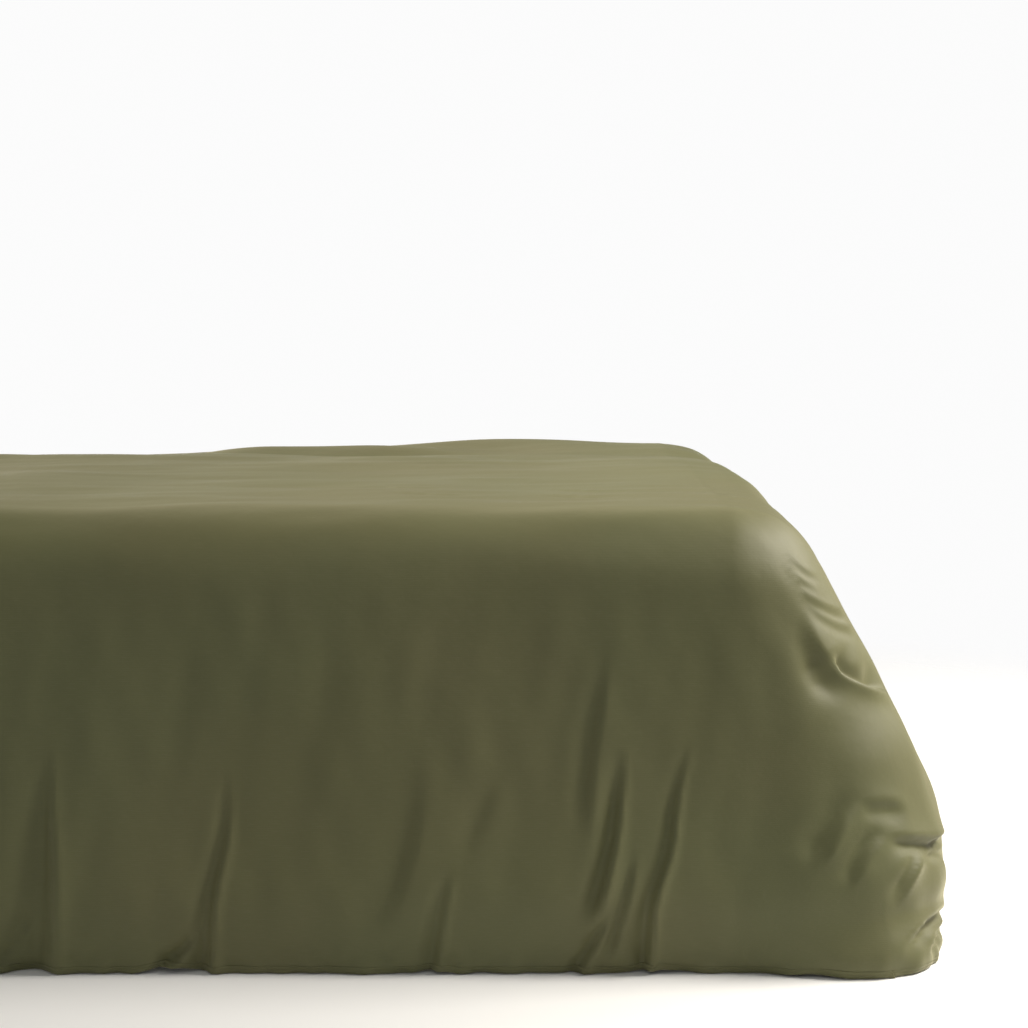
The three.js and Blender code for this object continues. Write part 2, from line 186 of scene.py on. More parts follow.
def beside(line, x, z):
    """Distance to the right of a line that runs down, and how far along it, from 0 to 1."""
    line = np.array(line, float)
    step = np.diff(line, axis=0)
    lengths = np.linalg.norm(step, axis=1)
    starts = np.concatenate([[0], np.cumsum(lengths)])
    best = np.full(x.shape, np.inf)
    right = np.zeros(x.shape)
    along = np.zeros(x.shape)
    for (px, pz), (dx, dz), length, start in zip(line, step, lengths, starts):
        t = np.clip(((x - px) * dx + (z - pz) * dz) / length**2, 0, 1)
        gap = np.hypot(x - px - t * dx, z - pz - t * dz)
        cross = (x - px) * -dz + (z - pz) * dx
        closer = gap < best
        best = np.where(closer, gap, best)
        right = np.where(closer, np.sign(cross) * gap, right)
        along = np.where(closer, (start + t * length) / starts[-1], along)
    return right, along


def crease(x, z, line, **shape):
    """A valley beside a crest, worked out only near its line."""
    reach = 4 * max(shape["width"])
    line = smooth_line(line)
    low, high = line.min(0) - reach, line.max(0) + reach
    near = (x > low[0]) & (x < high[0]) & (z > low[1]) & (z < high[1])
    out = np.zeros(x.shape)
    out[near] = crease_profile(line, x[near], z[near], **shape)
    return out


def crease_profile(line, x, z, deep, width, crest=0.7, dark=-1, fade_in=0.35, fade_out=0.0,
                   soft=0.9):
    """A soft valley that rises to a sharp crest on the line.

    dark is the side of the line that the valley is on, -1 for the left, and soft is how
    broad the crest's other side is.
    """
    right, along = beside(line, x, z)
    q = right * -dark
    deep = deep[0] + (deep[1] - deep[0]) * along
    width = width[0] + (width[1] - width[0]) * along
    past = q + 0.8 * width
    valley = np.exp(-((past / np.where(past < 0, width, 0.5 * width)) ** 2))
    ridge = np.exp(-((np.abs(q) / np.where(q < 0, 0.42 * width, soft * width)) ** 1.4))
    fade = smoothstep(along, 0, fade_in)
    if fade_out:
        fade = fade * smoothstep(1 - along, 0, fade_out)
    return deep * fade * (crest * ridge - valley)


def swell(x, z, at, size, high, lean=0.0):
    """A rounded bulge, or a hollow where high is below 0."""
    c, s = math.cos(math.radians(lean)), math.sin(math.radians(lean))
    along, across = (x - at[0]) * c + (z - at[1]) * s, (z - at[1]) * c - (x - at[0]) * s
    return high * np.exp(-((along / size[0]) ** 2) - (across / size[1]) ** 2)


def smooth_line(points):
    """A Catmull-Rom curve through a few points."""
    steps = 6
    p = np.array(points, float)
    p = np.concatenate([[2 * p[0] - p[1]], p, [2 * p[-1] - p[-2]]])
    out = []
    for i in range(1, len(p) - 2):
        for t in np.arange(steps) / steps:
            q = (
                2 * p[i]
                + (p[i + 1] - p[i - 1]) * t
                + (2 * p[i - 1] - 5 * p[i] + 4 * p[i + 1] - p[i + 2]) * t**2
                + (3 * p[i] - p[i - 1] - 3 * p[i + 1] + p[i + 2]) * t**3
            )
            out.append(q / 2)
    out.append(p[-2])
    return np.array(out)


def fold(line, deep, width, **how):
    """A crease's line, its depth and width at the line's two ends, and how it differs."""
    return dict(line=line, deep=deep, width=width, **how)


# The creases of the left side, as (x, z) seen from the left.
LEFT_CREASES = [
    fold([(-0.125, 0.29), (-0.125, 0.20), (-0.120, 0.12), (-0.120, 0.0)], (0.003, 0.018),
         (0.008, 0.040), crest=0.5, soft=0.4),
    fold([(-0.140, 0.085), (-0.170, 0.03), (-0.195, 0.0)], (0.004, 0.009), (0.007, 0.010)),
    fold([(0.085, 0.255), (0.085, 0.17), (0.070, 0.09), (0.065, 0.0)], (0.003, 0.011),
         (0.007, 0.016), soft=0.45),
    fold([(0.050, 0.055), (0.035, 0.025), (0.010, 0.0)], (0.005, 0.010), (0.007, 0.010)),
    fold([(0.325, 0.26), (0.315, 0.17), (0.300, 0.11), (0.275, 0.03)], (0.003, 0.009),
         (0.022, 0.030), crest=0.4, fade_out=0.3, soft=1.2),
    fold([(0.355, 0.13), (0.345, 0.08), (0.335, 0.0)], (0.003, 0.010), (0.009, 0.014), soft=0.5),
    fold([(0.545, 0.40), (0.535, 0.33), (0.525, 0.26), (0.515, 0.15)], (0.003, 0.008),
         (0.012, 0.017), crest=0.6, fade_out=0.35),
    fold([(0.560, 0.28), (0.555, 0.21), (0.545, 0.14), (0.520, 0.05)], (0.005, 0.013),
         (0.009, 0.015), crest=0.8, fade_out=0.22, soft=0.6),
    fold([(0.575, 0.16), (0.565, 0.10), (0.555, 0.06), (0.545, 0.01)], (0.003, 0.008),
         (0.007, 0.010), fade_out=0.2),
    fold([(0.545, 0.08), (0.530, 0.045), (0.505, 0.0)], (0.005, 0.010), (0.007, 0.010)),
    fold([(0.645, 0.29), (0.625, 0.22), (0.615, 0.15), (0.595, 0.085), (0.590, 0.0)],
         (0.004, 0.010), (0.008, 0.013), crest=1.0, soft=0.45),
    fold([(0.425, 0.24), (0.390, 0.17), (0.375, 0.12)], (0.002, 0.003),
         (0.022, 0.022), crest=0.4, fade_out=0.4, soft=1.2),
]

# Those round the left foot corner, seen from the left too.
CORNER_CREASES = [
    fold([(0.750, 0.505), (0.775, 0.475), (0.800, 0.460)], (0.001, 0.002),
         (0.007, 0.007), fade_out=0.4),
    fold([(0.745, 0.495), (0.765, 0.470), (0.795, 0.445)], (0.001, 0.002),
         (0.007, 0.007), fade_out=0.4),
    fold([(0.755, 0.470), (0.790, 0.435), (0.850, 0.405)], (0.001, 0.003),
         (0.007, 0.008), fade_out=0.3),
    fold([(0.770, 0.445), (0.800, 0.415), (0.860, 0.385)], (0.001, 0.003),
         (0.007, 0.008), fade_out=0.3),
    fold([(0.768, 0.440), (0.785, 0.395), (0.806, 0.360)], (0.001, 0.008),
         (0.016, 0.014), crest=0.8, fade_in=0.6, fade_out=0.2, soft=1.6),
    fold([(0.805, 0.372), (0.815, 0.350), (0.835, 0.335), (0.860, 0.322), (0.895, 0.312),
          (0.940, 0.320)], (0.006, 0.012), (0.008, 0.009), crest=0.9, dark=1,
         fade_in=0.10, fade_out=0.15),
    fold([(0.893, 0.193), (0.860, 0.202), (0.828, 0.203)], (0.005, 0.004),
         (0.014, 0.014), crest=0.5, dark=1, fade_out=0.3),
    fold([(0.838, 0.204), (0.806, 0.176), (0.775, 0.122)], (0.006, 0.008),
         (0.014, 0.018), crest=0.6, fade_out=0.35, soft=1.4),
    fold([(0.960, 0.150), (0.930, 0.148), (0.893, 0.157), (0.853, 0.163)], (0.013, 0.006),
         (0.012, 0.011), crest=0.5, dark=1, fade_in=0.06, fade_out=0.3, soft=1.6),
    fold([(0.862, 0.163), (0.837, 0.146), (0.812, 0.102)], (0.005, 0.007),
         (0.010, 0.012), crest=0.7, fade_out=0.35, soft=1.4),
    fold([(0.820, 0.188), (0.803, 0.163), (0.785, 0.130)], (0.002, 0.004),
         (0.008, 0.009), fade_out=0.35),
    fold([(0.965, 0.120), (0.925, 0.134), (0.898, 0.130)], (0.009, 0.004),
         (0.008, 0.007), dark=1, fade_in=0.08, fade_out=0.4),
    fold([(0.960, 0.136), (0.930, 0.147), (0.910, 0.143)], (0.007, 0.003),
         (0.007, 0.006), dark=1, fade_in=0.08, fade_out=0.4),
    fold([(0.905, 0.138), (0.880, 0.113), (0.860, 0.078)], (0.005, 0.005),
         (0.008, 0.010), fade_out=0.4),
    fold([(0.965, 0.058), (0.915, 0.060), (0.885, 0.052), (0.850, 0.035)], (0.011, 0.005),
         (0.010, 0.009), crest=0.6, dark=1, fade_in=0.06, fade_out=0.35),
    fold([(0.960, 0.040), (0.915, 0.036), (0.885, 0.018)], (0.008, 0.005),
         (0.008, 0.008), crest=0.6, dark=1, fade_in=0.06, fade_out=0.35),
]
CORNER_SWELLS = [
    dict(at=(0.797, 0.346), size=(0.024, 0.015), high=-0.010, lean=-50),
    dict(at=(0.866, 0.341), size=(0.018, 0.010), high=-0.007, lean=-30),
    dict(at=(0.905, 0.338), size=(0.030, 0.014), high=-0.008),
    dict(at=(0.770, 0.300), size=(0.030, 0.018), high=0.003, lean=60),
    dict(at=(0.885, 0.250), size=(0.060, 0.050), high=0.010),
    dict(at=(0.880, 0.125), size=(0.035, 0.018), high=0.006, lean=25),
    dict(at=(0.930, 0.092), size=(0.035, 0.025), high=0.007),
]


def random_creases(seed, low, high, count):
    """Folds like those of the left side, for a side that hangs on its own."""
    rng = np.random.default_rng(seed)
    creases = []
    for i in range(count):
        at = low + (high - low) * (i + 0.2 + 0.6 * rng.random()) / count
        rise = 0.05 + 0.30 * rng.random() ** 1.6
        drift = rng.normal(0, 0.12) * rise
        mid = (at + 0.6 * drift + rng.normal(0, 0.006), 0.5 * rise)
        width = 0.008 + 0.012 * rng.random()
        deep = (0.003, 0.006 + 0.030 * width * rise / 0.05 * 0.25)
        dark = -1 if rng.random() < 0.6 else 1
        line = [(at + drift, rise), mid, (at, 0.0)]
        creases.append(fold(line, deep, (0.7 * width, width), dark=dark))
    return creases


RIGHT_CREASES = random_creases(11, -0.90, 0.66, 13)
LEFT_HEAD_CREASES = random_creases(5, -0.93, -0.28, 5)
FOOT_CREASES = random_creases(23, -0.66, 0.62, 13)

# Faint creases on the top, as (x, y) from above.
TOP_CREASES = [
    fold(line, (0.002, 0.002), (0.011, 0.011), fade_out=0.4)
    for line in (
        [(0.21, -0.40), (0.28, -0.43), (0.34, -0.42)],
        [(0.26, -0.50), (0.32, -0.54), (0.39, -0.53)],
        [(0.48, -0.42), (0.53, -0.46), (0.59, -0.46)],
        [(0.46, -0.52), (0.52, -0.55), (0.57, -0.54)],
    )
] + [
    fold(line, deep, (wide, wide), fade_out=0.5, soft=1.2)
    for line, deep, wide in (
        ([(-0.62, -0.34), (-0.48, -0.26), (-0.36, -0.30)], (0.002, 0.003), 0.024),
        ([(-0.50, 0.30), (-0.30, 0.22), (-0.14, 0.24)], (0.003, 0.002), 0.026),
        ([(0.20, 0.02), (0.38, 0.10), (0.56, 0.06)], (0.002, 0.003), 0.024),
        ([(-0.85, 0.10), (-0.74, 0.02), (-0.70, -0.12)], (0.003, 0.002), 0.022),
    )
]

BILLOW = Waves(3, 0.55, 0.22)
RIPPLE = Waves(7, 0.16, 0.05, stretch=(0.7, 0.7, 1.6))
TOP_RIPPLE = Waves(19, 0.24, 0.06, stretch=(2.2, 0.7, 1))
PUCKER = Waves(31, 0.055, 0.018, count=40)
HEM_LIFT = Waves(61, 0.34, 0.10, count=20)


def rise_of_top(x, y):
    """The top isn't quite level: its right part sags towards the head, behind two low humps."""
    sag = -0.010 * smoothstep(y, 0.20, 0.55) - 0.016 * smoothstep(y, 0.28, 0.62) * (
        1 - smoothstep(x, -0.26, 0.0)
    )
    humped = smoothstep(x, -0.28, 0.02) * (1 - smoothstep(x, 0.16, 0.48))
    dip = -0.012 * bell(y - 0.415, 0.060) * humped
    hump = 0.013 * bell(y - 0.51, 0.060) * humped
    foot_hump = 0.010 * smoothstep(y, 0.30, 0.58) * bell(x - 0.50, 0.22)
    return (sag + dip + hump + foot_hump) * smoothstep(x, HEAD_X, HEAD_X + 0.35)


def plump_corner(turn, share, y):
    """The foot end stands out a little, and its corners flare at the hem."""
    foot = 0.008 * smoothstep(turn, 0.25, 1.05) * smoothstep(share, 0.05, 0.30)
    shoulder = 0.016 * smoothstep(turn, 0.6, 1.4) * bell(share - 0.14, 0.12) * bell(y + 0.10, 0.60)
    shoulder = shoulder * smoothstep(share, 0, 0.10)
    flare = bell(turn - 0.85, 0.45) * (
        0.022 * smoothstep(share, 0.62, 0.90) + 0.028 * smoothstep(share, 0.88, 0.98)
    )
    return foot + shoulder + flare


def creasing(a, b):
    """How far the cloth stands out from where it lies, along the way it faces."""
    place, facing, turn, share = lie(a, b)
    x, y, z = np.moveaxis(place, -1, 0)
    hanging = smoothstep(share, 0.12, 0.45)
    left, right = b < 0, b >= 0
    out = (0.0016 + 0.0015 * smoothstep(y, 0, 0.6)) * BILLOW(place)
    out = out + (0.0011 * TOP_RIPPLE(place) + rise_of_top(x, y)) * (1 - hanging)
    out = out + 0.0009 * RIPPLE(place) * hanging
    front = 1 - smoothstep(turn, math.radians(70), math.radians(88))
    back = smoothstep(turn, math.radians(60), math.radians(85))
    flat_side = 1 - smoothstep(turn, math.radians(2), math.radians(30))
    for which, creases in ((left, LEFT_CREASES + LEFT_HEAD_CREASES), (right, RIGHT_CREASES)):
        for one in creases:
            out = out + np.where(which, flat_side * hanging * crease(x, z, **one), 0)
    for one in CORNER_CREASES:
        out = out + np.where(left, front * crease(x, z, **one), 0)
        # The right corner is creased much the same, but fainter and a little off.
        out = out + np.where(right, 0.8 * front * crease(x - 0.012, 1.02 * z, **one), 0)
    for one in CORNER_SWELLS:
        out = out + front * np.where(left, 1.0, 0.8) * swell(x, z, **one) * hanging
    for one in FOOT_CREASES:
        out = out + 1.3 * back * hanging * crease(y, z, **one)
    for one in TOP_CREASES:
        out = out + (1 - hanging) * crease(x, y, **one)
    out = out + plump_corner(turn, share, y)
    edge = np.minimum(FLAT_WIDTH / 2 - np.abs(b), np.minimum(FLAT_LENGTH - a, a))
    out = out + 0.0016 * PUCKER(place) * bell(edge, 0.035)
    return out


def zip_mask(a, b):
    """1 where the zip lies, which the creases of the foot end leave alone."""
    beside_zip = smoothstep(-np.abs(b), -0.70, -0.62)
    return beside_zip * smoothstep(a, FLAT_LENGTH - 0.15, FLAT_LENGTH - 0.10)


def under_follows(a, b):
    """How much of the creasing the underside shares: all of it at the edges, little inside."""
    edge = np.minimum.reduce([a, FLAT_LENGTH - a, FLAT_WIDTH / 2 - np.abs(b)])
    inside = smoothstep(edge, 0, TAPER)
    return (1 - 0.75 * inside) * (1 - zip_mask(a, b))


def walls(a, b):
    """The face and the underside of the duvet at (a, b)."""
    place, facing, _, _ = lie(a, b)
    face, under = depths(a, b)
    out = creasing(a, b)
    top = place + facing * (out * (1 - 0.6 * zip_mask(a, b)) - face)[..., None]
    bottom = place + facing * (out * under_follows(a, b) - under)[..., None]
    edge = np.minimum(FLAT_WIDTH / 2 - np.abs(b), FLAT_LENGTH - a)
    reach = 0.050 - 0.030 * zip_mask(a, b)  # the zip behind the hem stays straight
    lift = 0.006 * np.clip(HEM_LIFT(place) - 0.35, 0, 1) * bell(edge, reach)
    for p in (top, bottom):
        p[..., 2] = np.maximum(p[..., 2] + lift, 0.0)
    return top, bottom


def surface(a, b, fraction=0.0, from_under=None):
    """A place in the duvet: a fraction of the way from its face, or a height over its underside."""
    a, b = np.broadcast_arrays(np.asarray(a, float), np.asarray(b, float))
    top, bottom = walls(a, b)
    low, high = ZIP_RINGS
    in_strip = (a > low) & (a < high)
    if in_strip.any():  # the underside is straight from ring to ring, where the zip lies
        t = ((a - low) / (high - low))[..., None]
        ends = [walls(np.full(a.shape, ring), b)[1] for ring in ZIP_RINGS]
        bottom = np.where(in_strip[..., None], ends[0] + (ends[1] - ends[0]) * t, bottom)
    share = np.broadcast_to(fraction, a.shape)
    if from_under is not None:
        share = 1 - from_under / np.linalg.norm(bottom - top, axis=-1)
    return top + (bottom - top) * share[..., None]


def stops(low, high, bands):
    """Stops from low to high, no further apart than the band that they are in allows."""
    out = [low]
    while out[-1] < high - 1e-6:
        pitch = next(p for end, p in bands if out[-1] < end)
        out.append(out[-1] + pitch)
    out = np.array(out)
    return low + (out - low) * (high - low) / (out[-1] - low)


# ---- finishes
class Value:
    """A socket that arithmetic works on."""

    def __init__(self, shade, socket):
        self.shade, self.socket = shade, socket

    def _math(self, operation, other, swap=False):
        pair = [other, self] if swap else [self, other]
        node = self.shade.node("ShaderNodeMath", {"operation": operation}, {0: pair[0], 1: pair[1]})
        return node[0]

    def __add__(self, other):
        return self._math("ADD", other)

    __radd__ = __add__

    def __mul__(self, other):
        return self._math("MULTIPLY", other)

    __rmul__ = __mul__

    def __sub__(self, other):
        return self._math("SUBTRACT", other)

    def __rsub__(self, other):
        return self._math("SUBTRACT", other, swap=True)

    def __pow__(self, other):
        return self._math("POWER", other)

    def __abs__(self):
        return self.shade.node("ShaderNodeMath", {"operation": "ABSOLUTE"}, {0: self})[0]

    def sine(self):
        return self.shade.node("ShaderNodeMath", {"operation": "SINE"}, {0: self})[0]

    def ramp(self, low, high):
        settings = {"interpolation_type": "SMOOTHSTEP"}
        return self.shade.node("ShaderNodeMapRange", settings, {0: self, 1: low, 2: high})[0]


class Shade:
    """A material's nodes, one method for all of them."""

    def __init__(self, name):
        self.material = bpy.data.materials.new(name)
        self.material.use_nodes = True
        self.nodes = self.material.node_tree.nodes
        self.links = self.material.node_tree.links
        self.shader = self.nodes["Principled BSDF"]

    def put(self, node, key, value):
        socket = node.inputs[key]
        if isinstance(value, Value):
            self.links.new(value.socket, socket)
        else:
            socket.default_value = value

    def node(self, kind, settings=None, inputs=None):
        node = self.nodes.new(kind)
        for key, value in (settings or {}).items():
            setattr(node, key, value)
        for key, value in (inputs or {}).items():
            self.put(node, key, value)
        return [Value(self, socket) for socket in node.outputs]

    def xyz(self, socket):
        return self.node("ShaderNodeSeparateXYZ", None, {0: socket})[:3]

    def place(self, name="Object", scale=(1, 1, 1)):
        where = self.node("ShaderNodeTexCoord")
        pick = {"UV": 2, "Object": 3}[name]
        return self.node("ShaderNodeMapping", None, {0: where[pick], 3: scale})[0]

    def noise(self, where, scale, detail=2.0, rough=0.5):
        inputs = {"Vector": where, "Scale": scale, "Detail": detail, "Roughness": rough}
        return self.node("ShaderNodeTexNoise", None, inputs)[0]

    def mix(self, factor, first, second):
        node = self.nodes.new("ShaderNodeMix")
        node.data_type = "RGBA"
        for key, value in zip((0, 6, 7), (factor, first, second)):
            if isinstance(value, tuple) and len(value) == 3:
                value = (*value, 1)
            self.put(node, key, value)
        return Value(self, node.outputs[2])

    def bump(self, height, distance, strength=1.0, normal=None):
        inputs = {"Height": height, "Distance": distance, "Strength": strength}
        if normal is not None:
            inputs["Normal"] = normal
        return self.node("ShaderNodeBump", None, inputs)[0]

    def finish(self, **sockets):
        for key, value in sockets.items():
            key = key.replace("_", " ").title().replace("Ior", "IOR")
            if isinstance(value, tuple) and len(value) == 3 and key != "Normal":
                value = (*value, 1)
            self.put(self.shader, key, value)
        return self.material


OLIVE = (0.107, 0.107, 0.044)
OLIVE_GREEN = (0.105, 0.109, 0.046)
OLIVE_BROWN = (0.110, 0.107, 0.046)
THREADS = 900.0  # rounds of the weave per metre, coarse enough to show


def sateen():
    s = Shade("olive_sateen")
    cloth = s.place("UV")
    body = s.place("Object")
    broad = s.noise(body, 2.2, 2.0)
    patches = s.noise(body, 6.5, 3.0)
    u, v, _ = s.xyz(cloth)
    warp = (u * (THREADS * 2 * math.pi)).sine()
    weft = (v * (THREADS * math.pi)).sine()
    slub = s.noise(s.place("UV", (60, 900, 1)), 1.0, 2.0)
    crumple = s.noise(body, 30.0, 3.0, 0.5)
    colour = s.mix(broad.ramp(0.38, 0.62), OLIVE_GREEN, OLIVE_BROWN)
    colour = s.mix(patches.ramp(0.35, 0.68) * 0.5, colour, OLIVE)
    colour = s.mix(slub.ramp(0.45, 0.75) * 0.10, colour, (0.19, 0.178, 0.11))
    fine = s.bump(warp * 0.5 + weft * 0.5 + slub * 0.3, 0.00005, 0.5)
    normal = s.bump(crumple, 0.0014, 0.5, fine)
    return s.finish(
        base_color=colour,
        roughness=0.50 + slub * 0.12,
        normal=normal,
        sheen_weight=0.42,
        sheen_roughness=0.42,
        sheen_tint=(0.86, 0.80, 0.54),
        specular_ior_level=0.30,
    )


def percale():
    s = Shade("off_white_percale")
    u, v, _ = s.xyz(s.place("UV"))
    weave = (u * (THREADS * 2 * math.pi)).sine() * (v * (THREADS * 2 * math.pi)).sine()
    tone = s.noise(s.place("Object"), 9.0, 3.0)
    colour = s.mix(tone.ramp(0.3, 0.7), (0.76, 0.74, 0.68), (0.84, 0.82, 0.77))
    crumple = s.noise(s.place("UV"), 60.0, 3.0)
    normal = s.bump(crumple, 0.002, 0.5, s.bump(weave, 0.0002, 0.4))
    return s.finish(base_color=colour, roughness=0.8 + tone * 0.1, normal=normal, sheen_weight=0.2)


def wadding():
    s = Shade("fibre_wadding")
    body = s.place("Object")
    tufts = s.noise(body, 70.0, 6.0, 0.7)
    fibres = s.noise(s.place("Object", (900, 160, 500)), 1.0, 3.0)
    colour = s.mix(tufts.ramp(0.3, 0.7), (0.80, 0.78, 0.72), (0.92, 0.91, 0.87))
    normal = s.bump(fibres, 0.0006, 0.6, s.bump(tufts, 0.005, 0.7))
    return s.finish(base_color=colour, roughness=0.9 + tufts * 0.1, normal=normal, sheen_weight=0.5)


def tape(name, dark, light, pitch=0.0011):
    s = Shade(name)
    u, v, _ = s.xyz(s.place("UV"))
    rib = abs((u * (math.pi / pitch) + v * (0.5 * math.pi / pitch)).sine())
    worn = s.noise(s.place("Object"), 160.0, 3.0)
    colour = s.mix(rib * 0.5 + worn * 0.5, dark, light)
    normal = s.bump(rib, 0.0003, 0.7)
    return s.finish(base_color=colour, roughness=0.75 + rib * 0.15, normal=normal)


def nylon():
    s = Shade("zip_nylon")
    tone = s.noise(s.place("Object"), 300.0, 2.0)
    colour = s.mix(tone, (0.075, 0.070, 0.036), (0.110, 0.102, 0.056))
    normal = s.bump(tone, 0.0001, 0.3)
    return s.finish(base_color=colour, roughness=0.30 + tone * 0.2, normal=normal)


def aged_metal():
    s = Shade("aged_brass")
    scuffs = s.noise(s.place("Object", (1, 12, 1)), 900.0, 4.0)
    stains = s.noise(s.place("Object"), 420.0, 3.0)
    colour = s.mix(stains.ramp(0.3, 0.8), (0.30, 0.235, 0.13), (0.40, 0.32, 0.18))
    rough = 0.26 + scuffs * 0.2 + stains * 0.12
    normal = s.bump(scuffs, 0.00005, 0.4)
    return s.finish(base_color=colour, metallic=0.95, roughness=rough, normal=normal)


def ribbon_satin():
    s = Shade("blank_label_satin")
    u, v, _ = s.xyz(s.place("UV"))
    rib = (v * 9000.0).sine()
    tone = s.noise(s.place("Object"), 60.0, 2.0)
    colour = s.mix(tone, (0.78, 0.77, 0.72), (0.86, 0.85, 0.81))
    normal = s.bump(rib, 0.0001, 0.5)
    return s.finish(base_color=colour, roughness=0.38 + tone * 0.1, normal=normal, sheen_weight=0.3)


MATERIALS = {
    "sateen": sateen(),
    "percale": percale(),
    "wadding": wadding(),
    "cotton_tape": tape("cotton_tie_tape", (0.085, 0.078, 0.040), (0.125, 0.115, 0.062)),
    "zip_tape": tape("zip_tape", (0.075, 0.070, 0.036), (0.115, 0.106, 0.056), 0.0008),
    "nylon": nylon(),
    "metal": aged_metal(),
    "label": ribbon_satin(),
}


# ---- making cloth pieces
def mesh_piece(name, points, faces, uvs=None, finish="sateen"):
    mesh = bpy.data.meshes.new(name)
    mesh.from_pydata([tuple(p) for p in points], [], faces)
    if uvs is not None:
        layer = mesh.uv_layers.new(name="cloth")
        flat = np.array([vertex for face in faces for vertex in face])
        layer.data.foreach_set("uv", np.asarray(uvs)[flat].astype(np.float32).ravel())
    mesh.materials.append(MATERIALS[finish])
    mesh.update()
    mesh.polygons.foreach_set("use_smooth", [True] * len(mesh.polygons))
    piece = bpy.data.objects.new(name, mesh)
    bpy.context.scene.collection.objects.link(piece)
    return piece


def laid_out(along, across):
    """Every crossing of two rows of stops, and the UV that each has."""
    a, b = np.meshgrid(along, across, indexing="ij")
    return a, b, np.stack([a, b], -1).reshape(-1, 2)


def grid(m, n, start=0, flip=False):
    faces = []
    for i in range(m - 1):
        for j in range(n - 1):
            p = start + i * n + j
            face = (p, p + n, p + n + 1, p + 1)
            faces.append(face[::-1] if flip else face)
    return faces


def thicken(piece, thickness, offset=-1):
    """Gives a sheet its thickness, below it unless offset says otherwise."""
    wall = piece.modifiers.new("cloth", "SOLIDIFY")
    wall.thickness, wall.offset = thickness, offset
    apply_all(piece)


def apply_all(piece):
    bpy.ops.object.select_all(action="DESELECT")
    piece.select_set(True)
    bpy.context.view_layer.objects.active = piece
    for modifier in list(piece.modifiers):
        bpy.ops.object.modifier_apply(modifier=modifier.name)


def stand_for(piece, slot, *nodes, body="duvet"):
    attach(piece, body)
    if nodes:
        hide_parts(*nodes)


HALF = FLAT_WIDTH / 2 - PANEL_INSET
JOIN = sum(ZIP_RINGS) / 2  # the zip runs here


def along_stops(low, high, fine, coarse):
    return stops(low, high, [(EDGE_ALONG - 0.05, coarse), (9, fine)])


def across_stops(half, fine, coarse):
    outer = stops(0, half, [(EDGE_ACROSS - 0.04, coarse), (9, fine)])
    return np.concatenate([-outer[:0:-1], outer])


def face_panel():
    """One layer of cloth, finest where it hangs on the left and round the foot corners."""
    along = stops(PANEL_INSET, FLAT_LENGTH - PANEL_INSET, [(0.78, 0.012), (9, 0.0050)])
    across = stops(-HALF, HALF, [(-0.70, 0.0072), (-0.36, 0.0105), (0.68, 0.018), (9, 0.0105)])
    a, b, uvs = laid_out(along, across)
    points = surface(a, b).reshape(-1, 3)
    piece = mesh_piece("face_panel", points, grid(len(along), len(across)), uvs)
    stand_for(piece, "cover_fabric", "cover_face_panel")
    return piece


def under_panels():
    """The underside: a panel and the facing beyond the zip, with the zip's slot between them."""
    slot, end = 0.006, ZIP_LENGTH / 2 + 0.002
    across = across_stops(HALF, 0.012, 0.030)
    across = np.unique(np.concatenate([across[np.abs(np.abs(across) - end) > 0.006], [-end, end]]))
    pieces = []
    for name, low, high, cut in (
        ("under_panel", PANEL_INSET, JOIN - 0.0003, JOIN - slot),
        ("foot_facing", JOIN + 0.0003, FLAT_LENGTH - PANEL_INSET, JOIN + slot),
    ):
        along = along_stops(low, high, 0.012, 0.014)
        along = np.unique(np.concatenate([along[np.abs(along - cut) > 0.002], [cut]]))
        a, b, uvs = laid_out(along, across)
        points = surface(a, b, from_under=0.0).reshape(-1, 3)
        mid_a, mid_b, _ = laid_out((along[:-1] + along[1:]) / 2, (across[:-1] + across[1:]) / 2)
        open_slot = (np.abs(mid_a - JOIN) < slot) & (np.abs(mid_b) < end)
        faces = grid(len(along), len(across), flip=True)
        faces = [face for face, cut_out in zip(faces, open_slot.ravel()) if not cut_out]
        piece = mesh_piece(name, points, faces, uvs)
        thicken(piece, COVER_CLOTH)
        drop_loose(piece)
        stand_for(piece, "cover_fabric", f"cover_{name}")
        pieces.append(piece)
    return pieces


def reshape(piece, change):
    mesh = bmesh.new()
    mesh.from_mesh(piece.data)
    change(mesh)
    mesh.to_mesh(piece.data)
    mesh.free()


def drop_loose(piece):
    def change(mesh):
        loose = [v for v in mesh.verts if not v.link_faces]
        bmesh.ops.delete(mesh, geom=loose, context="VERTS")

    reshape(piece, change)


def loft(name, rings, uvs, finish):
    """A closed solid through rings of the same number of points, with its two ends filled."""
    rings = np.asarray(rings)
    m, n = rings.shape[:2]
    faces = []
    for i in range(m - 1):
        for j in range(n):
            k = (j + 1) % n
            faces.append((i * n + j, i * n + k, (i + 1) * n + k, (i + 1) * n + j))
    faces.append(tuple(range(n))[::-1])
    faces.append(tuple((m - 1) * n + j for j in range(n)))
    piece = mesh_piece(name, rings.reshape(-1, 3), faces, np.asarray(uvs).reshape(-1, 2), finish)
    outwards(piece)
    return piece


def outwards(piece):
    reshape(piece, lambda mesh: bmesh.ops.recalc_face_normals(mesh, faces=mesh.faces))


# A seam's section: how far in from the edge, and how far through the thickness.
SEAM_HALF = [
    (0.0098, 0.000), (0.0080, 0.030), (0.0066, 0.070), (0.0058, 0.110), (0.0050, 0.090),
    (0.0036, 0.120), (0.0020, 0.210), (0.0006, 0.360),
]
SEAM_SECTION = SEAM_HALF + [(0.0, 0.5)] + [(e, 1 - t) for e, t in SEAM_HALF[::-1]]


